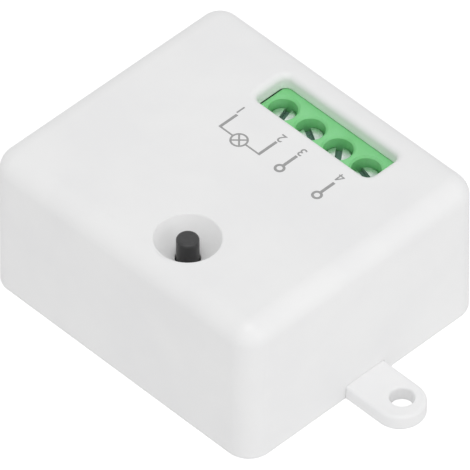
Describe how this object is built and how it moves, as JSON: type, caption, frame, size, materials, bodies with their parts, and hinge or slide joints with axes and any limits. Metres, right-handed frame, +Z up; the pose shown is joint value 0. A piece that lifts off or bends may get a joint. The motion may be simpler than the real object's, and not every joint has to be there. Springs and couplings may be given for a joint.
{
  "type": "smart relay module",
  "caption": "Small white cased relay module with a screw terminal block, a recessed push button and a mounting ear at each end.",
  "frame": {"origin": "centre of the underside of the case", "axes": "+Z up out of the printed face, X along the case through both ears, +Y towards the wire window"},
  "size_m": [0.0676, 0.042, 0.0228],
  "materials": {
    "white_case": "fine matte moulded ABS",
    "terminal_green": "moulded polyamide",
    "plated_steel": "bright zinc plating",
    "contact_metal": "tinned brass",
    "black_plastic": "moulded black plastic",
    "board_green": "solder-masked glass epoxy",
    "solder": "tin solder",
    "relay_blue": "moulded PBT",
    "iron": "soft iron, nickel plated",
    "copper": "enamelled copper",
    "can_sleeve": "shrink sleeve over aluminium",
    "ferrite": "sintered ferrite",
    "resistor_body": "flameproof lacquer",
    "varistor_lacquer": "epoxy lacquer",
    "chip_black": "epoxy moulding compound",
    "chip_ceramic": "fired ceramic"
  },
  "bodies": {
    "housing": {"top_cover": "white_case", "base_plate": "white_case", "terminal_housing": "terminal_green", "terminal_contacts": "contact_metal", "switch_base": "black_plastic", "switch_plate": "plated_steel", "switch_dome": "plated_steel", "switch_leads": "plated_steel", "circuit_board": "board_green", "solder_joints": "solder", "relay_case": "relay_blue", "relay_base": "relay_blue", "relay_yoke": "iron", "relay_core": "iron", "relay_bobbin": "black_plastic", "relay_winding": "copper", "relay_open_contact": "contact_metal", "relay_closed_contact": "contact_metal", "relay_pins": "contact_metal", "input_capacitor_1": "can_sleeve", "input_capacitor_2": "can_sleeve", "output_capacitor": "can_sleeve", "inductor_core": "ferrite", "inductor_winding": "copper", "fuse_resistor": "resistor_body", "varistor": "varistor_lacquer", "crystal": "iron", "antenna_wire": "copper", "bridge_rectifier": "chip_black", "power_converter": "chip_black", "voltage_regulator": "chip_black", "microcontroller": "chip_black", "radio_receiver": "chip_black", "relay_driver": "chip_black", "flyback_diode": "chip_black", "chip_resistors": "chip_ceramic", "chip_capacitors": "chip_ceramic"},
    "button": {"button_stem": "black_plastic"},
    "relay_armature": {"relay_armature": "iron", "relay_moving_contact": "contact_metal"},
    "screw_1": {"terminal_screw_1": "plated_steel"},
    "cage_1": {"clamp_cage_1": "plated_steel"},
    "screw_2": {"terminal_screw_2": "plated_steel"},
    "cage_2": {"clamp_cage_2": "plated_steel"},
    "screw_3": {"terminal_screw_3": "plated_steel"},
    "cage_3": {"clamp_cage_3": "plated_steel"},
    "screw_4": {"terminal_screw_4": "plated_steel"},
    "cage_4": {"clamp_cage_4": "plated_steel"}
  },
  "joints": [
    {"name": "button_press", "type": "slide", "parent": "housing", "child": "button", "axis": [0, 0, 1], "range_m": [-0.00025, 0], "stiffness_N_per_m": 4000, "springref_m": 0.0001, "deforming": ["switch_dome"]},
    {"name": "armature_pivot", "type": "hinge", "parent": "housing", "child": "relay_armature", "pos_m": [-0.01305, 0.005, 0.01704], "axis": [1, 0, 0], "range_deg": [0, 3], "stiffness_Nm_per_rad": 0.01, "springref_deg": -5.73},
    {"name": "screw_turn_1", "type": "hinge", "parent": "housing", "child": "screw_1", "pos_m": [-0.00472, 0.0134, 0.0168], "axis": [0, 0, 1], "range_deg": [-1800, 0]},
    {"name": "cage_rise_1", "type": "slide", "parent": "housing", "child": "cage_1", "axis": [0, 0, 1], "range_m": [0, 0.00225]},
    {"name": "screw_turn_2", "type": "hinge", "parent": "housing", "child": "screw_2", "pos_m": [0.00036, 0.0134, 0.0168], "axis": [0, 0, 1], "range_deg": [-1800, 0]},
    {"name": "cage_rise_2", "type": "slide", "parent": "housing", "child": "cage_2", "axis": [0, 0, 1], "range_m": [0, 0.00225]},
    {"name": "screw_turn_3", "type": "hinge", "parent": "housing", "child": "screw_3", "pos_m": [0.00544, 0.0134, 0.0168], "axis": [0, 0, 1], "range_deg": [-1800, 0]},
    {"name": "cage_rise_3", "type": "slide", "parent": "housing", "child": "cage_3", "axis": [0, 0, 1], "range_m": [0, 0.00225]},
    {"name": "screw_turn_4", "type": "hinge", "parent": "housing", "child": "screw_4", "pos_m": [0.01052, 0.0134, 0.0168], "axis": [0, 0, 1], "range_deg": [-1800, 0]},
    {"name": "cage_rise_4", "type": "slide", "parent": "housing", "child": "cage_4", "axis": [0, 0, 1], "range_m": [0, 0.00225]}
  ],
  "couplings": [
    {"joint": "screw_turn_1", "follows": "cage_rise_1", "rad_per_m": -13963},
    {"joint": "screw_turn_2", "follows": "cage_rise_2", "rad_per_m": -13963},
    {"joint": "screw_turn_3", "follows": "cage_rise_3", "rad_per_m": -13963},
    {"joint": "screw_turn_4", "follows": "cage_rise_4", "rad_per_m": -13963}
  ]
}
